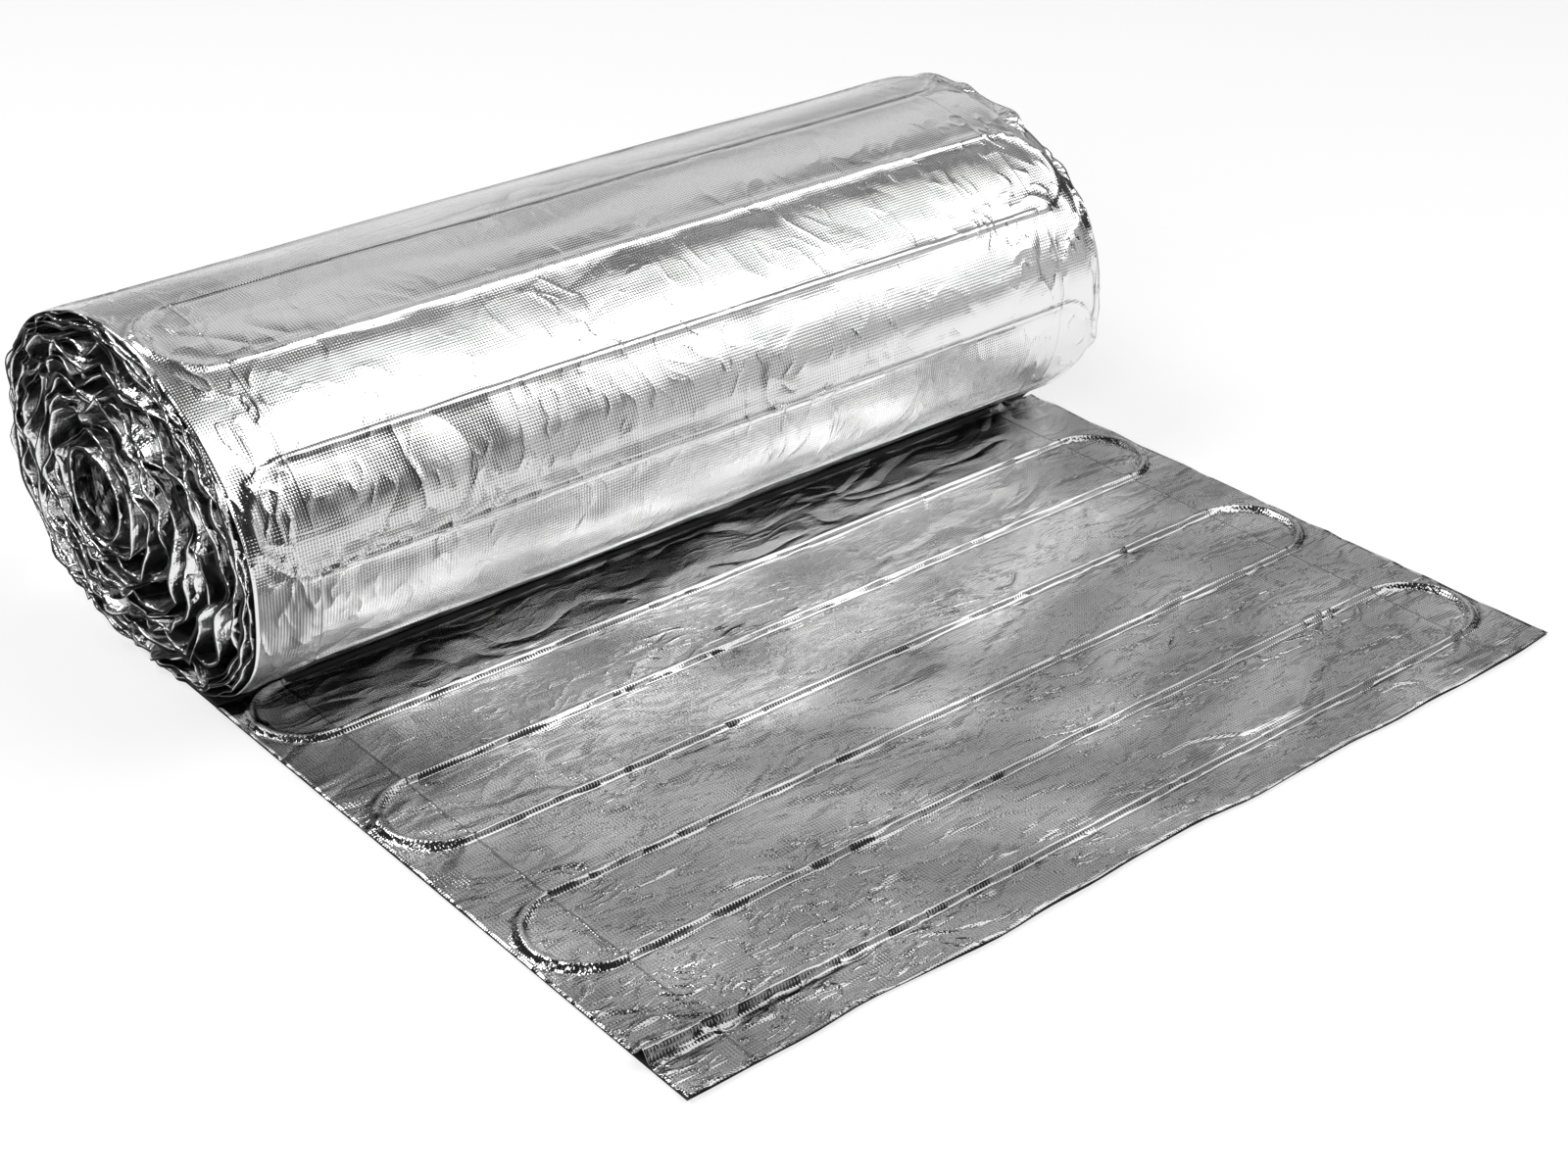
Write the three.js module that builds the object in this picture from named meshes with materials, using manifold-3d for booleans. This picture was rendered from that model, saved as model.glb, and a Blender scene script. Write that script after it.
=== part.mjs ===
// An underfloor heating mat, part rolled up and part laid out flat.
// A thin heating cable runs to and fro between two sheets of aluminium foil, tied by a yarn at each row of turns.
// The rest of the mat is wound into a loose roll that has sagged into an oval.
// Millimetres, +Z up, +X along the roll's axis, and the laid-out stretch runs towards -Y.

import * as THREE from "three";
import { mergeVertices } from "three/addons/utils/BufferGeometryUtils.js";
import Module from "manifold-3d";

const wasm = await Module();
wasm.setup();

// Driving dimensions of the mat
const matWidth = 500;
const foilThickness = 0.25;
const laidLength = 404; // from the front edge to under the roll's axis
const cableDiameter = 2.4;
const runPitch = 52; // from one cable run to the next
const firstRun = 27; // from the front edge to the first run
const turnInset = 32; // from each long edge to the centres of the cable's turns
const yarnWidth = 0.8;
const yarnHeight = 0.3;
const yarnLead = 6; // how far each yarn starts in front of its first run
const tentFlatShare = 0.6; // the tent's flat top over the cable's width
const tentFoot = 2.4; // how far the tent's foot reaches beyond the cable
const tentShoulder = 0.7; // the height of the tent's shoulder over its own

// Driving dimensions of the roll
const rollHalfWidth = 114;
const rollHeight = 162;
const boreRadius = 19;
const boreHeight = 84; // from the floor to the bore's axis
const turnCount = 12;
const turnGrooveDepth = 7;
const crestShare = 0.45; // of a turn's pitch: its flat end, and then the place of the groove's floor
const grooveShare = 0.8;
const rimStep = 2; // how far the outermost turn's end falls back
const coneOut = 12; // how far the innermost turn stands out of the roll's left end
const topExponent = 1.9; // a superellipse's exponent: 2 is an ellipse, and more is squarer
const bottomExponent = 2.6;
const footBite = 1; // how far the roll's weight flattens its underside
const topRun = 13; // the cable run that lies along the roll's top, counted from the front edge
const firstRollRun = 8; // the first and last run whose ridges show round the roll
const lastRollRun = 18;

// The open end of the first run's tunnel, where the supply lead leaves
const mouthRadius = 6.2;
const mouthRise = 0.9; // the mouth's height over its half width
const mouthTaper = 120; // from the long edge to where the tunnel is down to the cable
const cableSetback = 35; // from the long edge to the cable's end inside the tunnel

// Clearances
const cableClearance = 0.25;
const yarnClearance = 0.1;
const jointGap = 0.3;

// Fineness
const turnSteps = 10;
const roundSteps = 48;
const ridgeSides = 8;
const mouthSides = 20;
const tableSteps = 720;
const mergeReach = 1e-4;
const latheTurnPitch = 1; // of the round lathe work, before it sags into the oval

// Worked out from the dimensions above
const halfWidth = matWidth / 2;
const turnRadius = runPitch / 2;
const turnCentre = halfWidth - turnInset;
const cableRadius = cableDiameter / 2;
const sheetsTop = 2 * foilThickness; // where the two sheets lie together
const yarnTop = foilThickness + yarnHeight;
const cableHeight = yarnTop + yarnClearance + cableRadius; // of the cable's centre line
const tunnelInside = cableHeight + cableRadius + cableClearance;
const tunnelTop = tunnelInside + foilThickness;
const ridgeRadius = cableRadius + cableClearance + foilThickness * 4;
const runY = (run) => -laidLength + firstRun + run * runPitch;

/** The shape with only its positions, its shared corners merged, as a solid. */
function solid(geometry) {
  const bare = geometry.clone();
  bare.deleteAttribute("normal");
  bare.deleteAttribute("uv");
  const merged = mergeVertices(bare, mergeReach);
  const vertProperties = new Float32Array(merged.attributes.position.array);
  const triVerts = new Uint32Array(merged.index.array);
  return new wasm.Manifold(new wasm.Mesh({ numProp: 3, vertProperties, triVerts }));
}

/** The solid as a three.js geometry. */
function geometryOf(manifold) {
  const mesh = manifold.getMesh();
  const geometry = new THREE.BufferGeometry();
  geometry.setAttribute("position", new THREE.BufferAttribute(new Float32Array(mesh.vertProperties), 3));
  geometry.setIndex(new THREE.BufferAttribute(new Uint32Array(mesh.triVerts), 1));
  geometry.computeVertexNormals();
  return geometry;
}

/** A box between two corners. */
function block(low, high) {
  const size = high.map((value, axis) => value - low[axis]);
  const geometry = new THREE.BoxGeometry(...size);
  geometry.translate(...high.map((value, axis) => (value + low[axis]) / 2));
  return solid(geometry);
}

/** A path through given stations, with a section at each of them and nowhere else. */
class StationPath extends THREE.Curve {
  constructor(stations) {
    super();
    this.stations = stations;
  }

  getUtoTmapping(share) {
    return share;
  }

  getPoint(share, target = new THREE.Vector3()) {
    const place = THREE.MathUtils.clamp(share, 0, 1) * (this.stations.length - 1);
    const index = Math.min(Math.floor(place), this.stations.length - 2);
    return target.lerpVectors(this.stations[index], this.stations[index + 1], place - index);
  }
}

/** A section swept along stations. A flat path turns the section's x to -Z and its y to the path's side. */
function sweep(section, stations) {
  const path = new StationPath(stations);
  return solid(new THREE.ExtrudeGeometry(section, { steps: stations.length - 1, extrudePath: path }));
}

/** A round section with a flat at its bottom. */
function roundSection(radius, sides) {
  const points = [];
  for (let side = 0; side < sides; side += 1) {
    const angle = ((side + 0.5) / sides) * 2 * Math.PI;
    points.push(new THREE.Vector2(radius * Math.cos(angle), radius * Math.sin(angle)));
  }
  return new THREE.Shape(points);
}

/** The tent of foil over the cable: a bell that is flat on top, from floor to rise above the path. */
function tentSection(floor, rise, topHalf, footHalf) {
  const outline = [
    [floor, -footHalf],
    [floor + (rise - floor) * tentShoulder, -(topHalf + (footHalf - topHalf) * (1 - tentShoulder))],
    [rise, -topHalf],
    [rise, topHalf],
    [floor + (rise - floor) * tentShoulder, topHalf + (footHalf - topHalf) * (1 - tentShoulder)],
    [floor, footHalf],
  ];
  return new THREE.Shape(outline.map(([up, side]) => new THREE.Vector2(-up, side)));
}

/** Stations of the cable's way across the mat, as [x, distance along the mat] pairs. */
function serpentine(from, to, startX) {
  const way = [];
  for (let run = from; run <= to; run += 1) {
    const entry = run % 2 === 0 ? -turnCentre : turnCentre;
    const first = run === from ? startX : entry;
    way.push([first, run * runPitch], [-entry, run * runPitch]);
    if (run === to) {
      break;
    }
    for (let step = 1; step < turnSteps; step += 1) {
      const angle = (step / turnSteps) * Math.PI;
      const out = -entry + Math.sign(-entry) * turnRadius * Math.sin(angle);
      way.push([out, (run + (1 - Math.cos(angle)) / 2) * runPitch]);
    }
  }
  return way;
}

/** The outline of one turn of the roll. Share is 0 at the bore and 1 outside, and the angle is 0 at +Y. */
function turnPoint(share, angle) {
  const across = boreRadius + (rollHalfWidth - boreRadius) * share;
  const outerHalf = (rollHeight + footBite) / 2;
  const up = boreRadius + (outerHalf - boreRadius) * share;
  const middle = boreHeight + (outerHalf - footBite - boreHeight) * share;
  const outer = Math.sin(angle) < 0 ? bottomExponent : topExponent;
  const exponent = 2 / (2 + (outer - 2) * share);
  const y = across * Math.sign(Math.cos(angle)) * Math.abs(Math.cos(angle)) ** exponent;
  const z = middle + up * Math.sign(Math.sin(angle)) * Math.abs(Math.sin(angle)) ** exponent;
  return [y, z];
}

/** A table of the outermost turn: angles from the bottom, up the back, over the top and down the front. */
function outerTurnTable() {
  const table = [];
  let length = 0;
  let last = null;
  for (let index = 0; index <= tableSteps; index += 1) {
    const angle = -Math.PI / 2 + (index / tableSteps) * 2 * Math.PI;
    const point = turnPoint(1, angle);
    length += last ? Math.hypot(point[0] - last[0], point[1] - last[1]) : 0;
    table.push({ angle, length });
    last = point;
  }
  return table;
}

const outerTurn = outerTurnTable();
const topLength = outerTurn[outerTurn.length >> 1].length;

/** The place on the outermost turn at a length of mat from the roll's bottom. */
function onOuterTurn(x, length) {
  const index = Math.max(1, outerTurn.findIndex((row) => row.length >= length));
  const [before, after] = [outerTurn[index - 1], outerTurn[index]];
  const part = (length - before.length) / (after.length - before.length);
  const [y, z] = turnPoint(1, before.angle + (after.angle - before.angle) * part);
  return new THREE.Vector3(x, y, z);
}

/** The wound part: one turned solid with its bore, its turns grooved into its ends. */
function rolledMat() {
  const roundRadius = boreRadius + turnCount * latheTurnPitch;
  const profile = [];
  const edge = (share, side) => side * halfWidth - coneOut * (1 - share);
  for (let turn = 0; turn < turnCount; turn += 1) {
    const [start, stop] = [turn / turnCount, (turn + 1) / turnCount];
    const crest = start + crestShare / turnCount;
    const groove = start + grooveShare / turnCount;
    profile.push([start, edge(start, -1)], [crest, edge(start, -1)]);
    const outermost = turn === turnCount - 1;
    profile.push(outermost ? [stop, edge(start, -1) + rimStep] : [groove, edge(start, -1) + turnGrooveDepth]);
  }
  for (let turn = turnCount - 1; turn >= 0; turn -= 1) {
    const start = turn / turnCount;
    const crest = start + crestShare / turnCount;
    const groove = start + grooveShare / turnCount;
    const outermost = turn === turnCount - 1;
    profile.push(outermost ? [1, edge(start, 1) - rimStep] : [groove, edge(start, 1) - turnGrooveDepth]);
    profile.push([crest, edge(start, 1)], [start, edge(start, 1)]);
  }
  profile.push(profile[0]);
  const points = profile.map(([share, x]) => new THREE.Vector2(boreRadius + share * (roundRadius - boreRadius), x));
  const geometry = new THREE.LatheGeometry(points, roundSteps);
  sagIntoOval(geometry, roundRadius);
  const roll = solid(geometry).add(ridgesRoundTheRoll());
  const leadOff = block([-halfWidth, -foilsEnd(), 0], [halfWidth, 0, sheetsTop]);
  const floor = block([-matWidth, -matWidth, -rollHeight], [matWidth, matWidth, 0]);
  return roll.add(leadOff).subtract(floor);
}

/** Turns a lathe's upright axis to X and moves each ring to the oval that the turn has sagged into. */
function sagIntoOval(geometry, roundRadius) {
  const place = geometry.attributes.position;
  for (let index = 0; index < place.count; index += 1) {
    const radius = Math.hypot(place.getX(index), place.getZ(index));
    const angle = Math.atan2(place.getX(index), place.getZ(index));
    const share = (radius - boreRadius) / (roundRadius - boreRadius);
    const [y, z] = turnPoint(share, angle);
    place.setXYZ(index, place.getY(index), y, z);
  }
}

/** The cable's ridges on the outermost turn. */
function ridgesRoundTheRoll() {
  const startX = firstRollRun % 2 === 0 ? -turnCentre : turnCentre;
  const way = serpentine(firstRollRun, lastRollRun, startX);
  const stations = way.map(([x, along]) => onOuterTurn(x, topLength + along - topRun * runPitch));
  return sweep(roundSection(ridgeRadius, ridgeSides), stations);
}

/** How far in front of the roll's axis the flat sheets end, where the roll's flank has risen above the tunnels. */
function foilsEnd() {
  const row = [...outerTurn].reverse().find(({ angle }) => {
    const [y, z] = turnPoint(1, angle);
    return y < 0 && z - ridgeRadius > tunnelTop + jointGap;
  });
  return -turnPoint(1, row.angle)[0];
}

const sheetBack = -foilsEnd() - jointGap;
const lastLaidRun = Math.floor((laidLength - foilsEnd() - firstRun) / runPitch);

/** The cable's stations in the laid-out stretch, at a height, cut off at the sheets' back edge. */
function laidStations(startX, height) {
  return serpentine(0, lastLaidRun + 1, startX).map(([x, along]) => new THREE.Vector3(x, runY(0) + along, height));
}

/** Everything behind the laid-out stretch. */
function behindSheets(gap) {
  return block([-matWidth, sheetBack - gap, -rollHeight], [matWidth, matWidth, rollHeight]);
}

function lowerFoil() {
  return block([-halfWidth, -laidLength, 0], [halfWidth, sheetBack, foilThickness]);
}

/** A tapering tunnel from the mouth at the left long edge to the cable's own tunnel. */
function mouthCone(wall, reach) {
  const [wide, narrow] = [mouthRadius + wall, cableRadius + cableClearance + wall];
  const geometry = new THREE.CylinderGeometry(wide, narrow, mouthTaper + reach, mouthSides);
  geometry.rotateZ(Math.PI / 2);
  geometry.scale(1, 1, mouthRise);
  geometry.translate(-halfWidth + (mouthTaper - reach) / 2, runY(0), foilThickness);
  return solid(geometry);
}

function upperFoil() {
  const topHalf = cableRadius * tentFlatShare;
  const footHalf = cableRadius + tentFoot;
  const outside = tentSection(foilThickness - cableHeight, tunnelTop - cableHeight, topHalf + foilThickness, footHalf);
  const inside = tentSection(-cableHeight, tunnelInside - cableHeight, topHalf + cableClearance, footHalf - foilThickness);
  const ends = behindSheets(0);
  const below = block([-matWidth, -matWidth, -rollHeight], [matWidth, matWidth, foilThickness]);
  const plate = block([-halfWidth, -laidLength, foilThickness], [halfWidth, sheetBack, sheetsTop]);
  let foil = plate.add(sweep(outside, laidStations(-halfWidth + mouthTaper / 2, cableHeight)).subtract(below));
  foil = foil.add(mouthCone(foilThickness, 0).subtract(below));
  for (const side of [-1, 1]) {
    foil = foil.add(yarnBox(side, yarnClearance + foilThickness));
  }
  foil = foil.subtract(sweep(inside, laidStations(-halfWidth + mouthTaper / 2, cableHeight)));
  foil = foil.subtract(mouthCone(0, 1));
  for (const side of [-1, 1]) {
    foil = foil.subtract(yarnBox(side, yarnClearance, foilThickness));
  }
  return foil.subtract(ends);
}

/** The yarn down one row of turns, or the same grown by a clearance or wall, and downwards by a depth. */
function yarnBox(side, growth = 0, depth = 0) {
  const half = yarnWidth / 2 + growth;
  const middle = side * turnCentre;
  const front = side < 0 ? runY(1) : runY(0);
  const low = [middle - half, front - yarnLead - growth, foilThickness - depth];
  return block(low, [middle + half, sheetBack + growth, yarnTop + growth]);
}

function heatingCable() {
  const stations = laidStations(-halfWidth + cableSetback, cableHeight);
  return sweep(roundSection(cableRadius, ridgeSides), stations).subtract(behindSheets(0));
}

const finishes = {
  foil: new THREE.MeshStandardMaterial({ color: 0xc9cbcd, roughness: 0.22, metalness: 1 }),
  cable: new THREE.MeshStandardMaterial({ color: 0x2b2c2e, roughness: 0.5, metalness: 0 }),
  yarn: new THREE.MeshStandardMaterial({ color: 0xe6e4dc, roughness: 0.8, metalness: 0 }),
};

/** A named piece of the mat. */
function piece(name, manifold, finish) {
  const mesh = new THREE.Mesh(geometryOf(manifold), finish);
  mesh.name = name;
  return mesh;
}

const mat = new THREE.Group();
mat.add(piece("rolled_mat", rolledMat(), finishes.foil));
mat.add(piece("lower_foil", lowerFoil(), finishes.foil));
mat.add(piece("upper_foil", upperFoil(), finishes.foil));
mat.add(piece("heating_cable", heatingCable(), finishes.cable));
mat.add(piece("left_yarn", yarnBox(-1, 0, 0), finishes.yarn));
mat.add(piece("right_yarn", yarnBox(1, 0, 0), finishes.yarn));

// The origin is on the floor, under the middle of the whole object
const middle = new THREE.Box3().setFromObject(mat).getCenter(new THREE.Vector3());
mat.position.set(-middle.x, -middle.y, 0);

export default mat;
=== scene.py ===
# %% [markdown]
# An underfloor heating mat, dressed in Blender
# The mat is a thin heating cable laid to and fro between two sheets of aluminium foil. Most of it is wound
# into a loose roll that has sagged into an oval, and a stretch of it lies flat in front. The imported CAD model
# holds the sizes and places. This lesson gives the foil its folds, ridges and shine, and prints what each
# step made.

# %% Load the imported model
import math

import bmesh
import bpy
import numpy as np
from mathutils import Matrix, Vector


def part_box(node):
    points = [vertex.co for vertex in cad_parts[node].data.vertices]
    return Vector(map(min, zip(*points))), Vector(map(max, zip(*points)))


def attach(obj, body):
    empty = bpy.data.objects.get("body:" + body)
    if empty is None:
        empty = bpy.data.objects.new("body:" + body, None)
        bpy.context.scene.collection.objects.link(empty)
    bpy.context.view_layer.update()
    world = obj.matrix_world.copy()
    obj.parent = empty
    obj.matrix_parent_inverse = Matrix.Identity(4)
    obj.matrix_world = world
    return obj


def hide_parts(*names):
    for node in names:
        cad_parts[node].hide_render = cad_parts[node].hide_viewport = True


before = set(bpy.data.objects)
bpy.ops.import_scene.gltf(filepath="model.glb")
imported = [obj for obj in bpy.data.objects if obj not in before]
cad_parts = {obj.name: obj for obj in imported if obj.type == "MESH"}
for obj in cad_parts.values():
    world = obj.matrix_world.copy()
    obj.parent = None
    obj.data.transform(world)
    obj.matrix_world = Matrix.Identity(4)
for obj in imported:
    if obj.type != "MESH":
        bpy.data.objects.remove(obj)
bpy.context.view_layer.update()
print("CAD nodes:", ", ".join(sorted(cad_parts)))

# %% [markdown]
# Two small helpers serve every finish. Colours are picked as sRGB hex values, and Blender's shaders count in
# linear light, so one function turns the one into the other. The other helper adds a node, sets what it is
# told, and links any socket that it is handed.

# %% Helpers for colours and nodes
MM = 0.001


def linear(hex_colour):
    """A colour in linear light from an sRGB hex value."""
    channels = [int(hex_colour[at:at + 2], 16) / 255 for at in (1, 3, 5)]
    return (*[c / 12.92 if c <= 0.04045 else ((c + 0.055) / 1.055) ** 2.4 for c in channels], 1.0)


def add_node(tree, kind, inputs=(), **settings):
    """Adds a node, sets its properties, and sets or links its inputs, given as pairs of socket and value."""
    made = tree.nodes.new(kind)
    for name, value in settings.items():
        setattr(made, name, value)
    for socket, value in inputs:
        if isinstance(value, bpy.types.NodeSocket):
            tree.links.new(value, made.inputs[socket])
        else:
            made.inputs[socket].default_value = value
    return made


def new_material(name):
    """An empty material, and its node tree."""
    material = bpy.data.materials.new(name)
    material.use_nodes = True
    material.node_tree.nodes.clear()
    return material, material.node_tree


print("mid grey #808080 is", round(linear("#808080")[0], 3), "in linear light")

# %% [markdown]
# The camera stands where the photograph was taken from: above the free edge, to the left of the roll, and
# looking down by about 29 degrees. Its place came from fitting a pinhole camera to the mat's straight edges.

# %% Camera
camera_place = Vector((-0.660, -0.822, 0.601))
looks_along = Vector((0.5525, 0.6734, -0.4913)).normalized()
points_right = Vector((0.7709, -0.6369, -0.0060)).normalized()
points_up = points_right.cross(looks_along)
image_width, focal_length = 1600, 2624  # both in pixels of the photograph
camera_data = bpy.data.cameras.new("photo_camera")
camera_data.sensor_width = 36
camera_data.lens = camera_data.sensor_width * focal_length / image_width
camera_data.clip_end = 200
camera = bpy.data.objects.new("photo_camera", camera_data)
turned = Matrix((points_right, points_up, -looks_along)).transposed().to_4x4()
camera.matrix_world = Matrix.Translation(camera_place) @ turned
bpy.context.scene.collection.objects.link(camera)
bpy.context.scene.camera = camera
print("lens", round(camera_data.lens, 2), "mm")

# %% [markdown]
# Foil is nearly a mirror, so it looks like what stands round it. A product photographer keeps the table white
# by lighting it from within. The floor here is such a table: pale, plain, and giving a little light of its
# own.

# %% Floor
floor_mesh = bpy.data.meshes.new("floor")
floor_shape = bmesh.new()
bmesh.ops.create_grid(floor_shape, x_segments=4, y_segments=4, size=60)
floor_shape.to_mesh(floor_mesh)
floor_shape.free()
floor = bpy.data.objects.new("floor", floor_mesh)
floor_mesh.transform(Matrix.Translation((0, 0, -0.2 * MM)))
bpy.context.scene.collection.objects.link(floor)
white_table, tree = new_material("lit acrylic table")
surface = add_node(tree, "ShaderNodeBsdfPrincipled", [
    ("Base Color", linear("#c0c0c0")), ("Roughness", 0.6),
    ("Emission Color", linear("#ffffff")), ("Emission Strength", 0.6),
])
add_node(tree, "ShaderNodeOutputMaterial", [("Surface", surface.outputs["BSDF"])])
floor_mesh.materials.append(white_table)
print("floor:", round(floor.dimensions.x), "m wide")

# %% [markdown]
# The photograph shows one broad white band along the roll's front, which is a large soft box at the front
# right, and softer light from the left and from behind. A rectangular area light is such a box. Its place
# came from following the line of sight to the band and mirroring it on the roll.

# %% Soft boxes
def soft_box(name, place, aims_at, size, radiance):
    """A rectangular light that glossy foil can mirror and the camera doesn't see."""
    light = bpy.data.lights.new(name, "AREA")
    light.shape = "RECTANGLE"
    light.size, light.size_y = size
    light.energy = radiance * math.pi * size[0] * size[1]
    lamp = bpy.data.objects.new(name, light)
    lamp.location = place
    lamp.rotation_mode = "QUATERNION"
    lamp.rotation_quaternion = (Vector(aims_at) - Vector(place)).to_track_quat("-Z", "Y")
    lamp.visible_camera = False
    bpy.context.scene.collection.objects.link(lamp)
    return lamp


soft_box("front_box", (0.866, -0.564, 1.534), (-0.134, 0.066, 0.234), (1.31, 1.8), 1.8)
soft_box("left_box", (-1.7, -1.0, 1.3), (0, 0, 0.1), (1.2, 1.2), 2.6)
soft_box("back_box", (-0.7, 1.1, 1.9), (0, 0, 0), (1.4, 1.0), 4.5)

# %% [markdown]
# The rest of what the foil mirrors is the room: dark grey, with a lit wall in three directions. Real rooms
# are full of things with edges, and foil breaks them into patches, so a Voronoi pattern makes each part of
# the room a little brighter or darker than its neighbour. An even grey room would make the foil look like
# brushed plastic.

# %% Room
room = bpy.data.worlds.new("grey room")
bpy.context.scene.world = room
room.use_nodes = True
room.node_tree.nodes.clear()
tree = room.node_tree
direction = add_node(tree, "ShaderNodeTexCoord")


def lit_wall(azimuth, elevation, stops):
    """How bright the room is round one direction, given in degrees. Each stop is a cosine and a grey."""
    flat = math.cos(math.radians(elevation))
    towards = (flat * math.cos(math.radians(azimuth)), flat * math.sin(math.radians(azimuth)),
               math.sin(math.radians(elevation)))
    near = add_node(tree, "ShaderNodeVectorMath", [
        (0, direction.outputs["Generated"]), (1, towards),
    ], operation="DOT_PRODUCT")
    fall = add_node(tree, "ShaderNodeValToRGB", [("Fac", near.outputs["Value"])])
    for at, _ in stops[2:]:
        fall.color_ramp.elements.new(at)
    for element, (at, grey) in zip(fall.color_ramp.elements, stops):
        element.position = at
        element.color = linear(grey)
    return fall.outputs["Color"]


behind_roll = lit_wall(48, 28, [(0.78, "#383838"), (0.81, "#505050"), (0.845, "#b0b0b0"), (0.87, "#bcbcbc")])
at_front = lit_wall(-42, 8, [(0.9, "#383838"), (0.928, "#6c6c6c"), (0.948, "#b6b6b6"), (0.965, "#bebebe")])
at_left = lit_wall(200, 25, [(0.8, "#383838"), (0.86, "#6c6c6c"), (0.92, "#b4b4b4"), (0.96, "#c0c0c0")])
two_walls = add_node(tree, "ShaderNodeMath", [(0, behind_roll), (1, at_front)], operation="MAXIMUM")
three_walls = add_node(tree, "ShaderNodeMath", [
    (0, two_walls.outputs["Value"]), (1, at_left),
], operation="MAXIMUM")
clutter = add_node(tree, "ShaderNodeTexVoronoi", [
    ("Vector", direction.outputs["Generated"]), ("Scale", 8.0),
], feature="F1")
uneven = add_node(tree, "ShaderNodeMapRange", [
    ("Value", clutter.outputs["Color"]), ("From Min", 0.32), ("From Max", 0.68),
    ("To Min", 0.35), ("To Max", 1.65),
])
glow = add_node(tree, "ShaderNodeBackground", [
    ("Color", three_walls.outputs["Value"]), ("Strength", uneven.outputs["Result"]),
])
add_node(tree, "ShaderNodeOutputWorld", [("Surface", glow.outputs["Background"])])
bpy.context.scene.view_settings.view_transform = "Standard"
print("room:", len(tree.nodes), "nodes")

# %% [markdown]
# The mat's sizes. The edges of the flat stretch come from the frame. The roll and the cable's pattern
# repeat the driving dimensions of the CAD source, in metres.

# %% Sizes of the mat
flat_low, flat_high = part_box("lower_foil")
bore_mouth = 12 * MM  # how far the innermost turn stands out at the left
left_edge, right_edge = flat_low.x, flat_high.x
free_edge, sheet_back = flat_low.y, flat_high.y
middle_x = (left_edge + right_edge) / 2
mat_width = right_edge - left_edge
laid_length = 404 * MM  # from the free edge to under the roll's axis
roll_axis_y = free_edge + laid_length
run_pitch = 52 * MM
first_run = 27 * MM
turn_radius = run_pitch / 2
turn_centre = mat_width / 2 - 32 * MM  # from the mat's middle to the centres of the cable's turns
foil_thickness = 0.25 * MM
sheets_top = 2 * foil_thickness
tunnel_top = 3.35 * MM
run_margin = 2.7 * MM  # how far beside a run of the cable the foil is bent
print("mat", round(mat_width / MM), "mm wide, roll's axis at y =", round(roll_axis_y / MM, 1), "mm")


# %% [markdown]
# Every ridge in the foil follows the cable, so one function measures how far a point of the strip lies from
# the cable's centre line. A point is given by x, across the mat, and by its distance along the strip from the
# free edge. The cable runs straight across and turns round at each side, on the right after even runs and on
# the left after odd ones, and the first run carries straight on to the left edge.

# %% The cable's pattern
def cable_distance(x, along):
    """How far points of the strip lie from the cable's centre line, in metres."""
    place = (along - first_run) / run_pitch
    straight = np.abs(place - np.round(place)) * run_pitch
    beyond = np.abs(x - middle_x) - turn_centre
    on_left = x < middle_x
    turn_left = np.floor((place - 0.5) / 2) * 2 + 1.5
    turn_right = np.floor((place + 0.5) / 2) * 2 + 0.5
    turn = np.where(on_left, turn_left, turn_right)
    curved = np.abs(np.hypot(beyond, (place - turn) * run_pitch) - turn_radius)
    leads_out = on_left & (place < 0.5)
    return np.where((beyond > 0) & ~leads_out, curved, straight)


def bell(distance, half_width):
    """A smooth bump, 1 at no distance and 0 from the half width on."""
    return (1 + np.cos(np.pi * np.clip(np.abs(distance) / half_width, 0, 1))) / 2


def smooth_step(value, low, high):
    """0 below low, 1 above high, and smooth between."""
    share = np.clip((value - low) / (high - low), 0, 1)
    return share * share * (3 - 2 * share)


print("first turn reaches", round((turn_centre + turn_radius - mat_width / 2) / MM, 1), "mm from the edge")

# %% [markdown]
# Foil doesn't stretch, so wherever it is bent two ways it buckles into short sharp folds. They could be
# painted as bump alone, but a fold that catches the light needs a real slope. Each fold here is a straight
# line with a sharp crest that fades out towards its ends, and a seeded list of them is laid where the
# photograph shows them.

# %% Folds and ripples
chance = np.random.default_rng(7)


def scatter_folds(count, x_range, along_range, angle, angle_spread, length, width, rise):
    """A seeded list of folds, each x, along, angle, half length, half width and height."""
    return np.column_stack([
        chance.uniform(*x_range, count),
        chance.uniform(*along_range, count),
        chance.normal(angle, angle_spread, count),
        chance.uniform(*length, count),
        chance.uniform(*width, count),
        chance.uniform(*rise, count) * chance.choice([-1, 1], count),
    ])


def fold_height(x, along, folds):
    """The height that the folds add at points of the strip."""
    height = np.zeros_like(x)
    for fold_x, fold_along, angle, length, width, rise in folds:
        forward = (x - fold_x) * math.cos(angle) + (along - fold_along) * math.sin(angle)
        sideways = (along - fold_along) * math.cos(angle) - (x - fold_x) * math.sin(angle)
        fade = np.clip(1 - (forward / length) ** 2, 0, 1) ** 1.5
        height += rise * fade * np.exp(-np.abs(sideways) / width)
    return height


def ripples(x, along, count, x_length, along_length, rise):
    """Soft random waves, with their wavelengths drawn from the two ranges."""
    height = np.zeros_like(x)
    for _ in range(count):
        wave_x = 2 * np.pi / chance.uniform(*x_length) * chance.choice([-1, 1])
        wave_along = 2 * np.pi / chance.uniform(*along_length)
        height += np.sin(wave_x * x + wave_along * along + chance.uniform(0, 2 * np.pi))
    return height * rise / math.sqrt(count)


lone_fold = [(0, 0, 0, 20 * MM, 2 * MM, 1 * MM)]
beside_crest = fold_height(np.array([0.0]), np.array([2 * MM]), lone_fold)
print("a fold 1 mm high has fallen to", (beside_crest / MM).round(2), "mm at 2 mm beside its crest")

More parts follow.
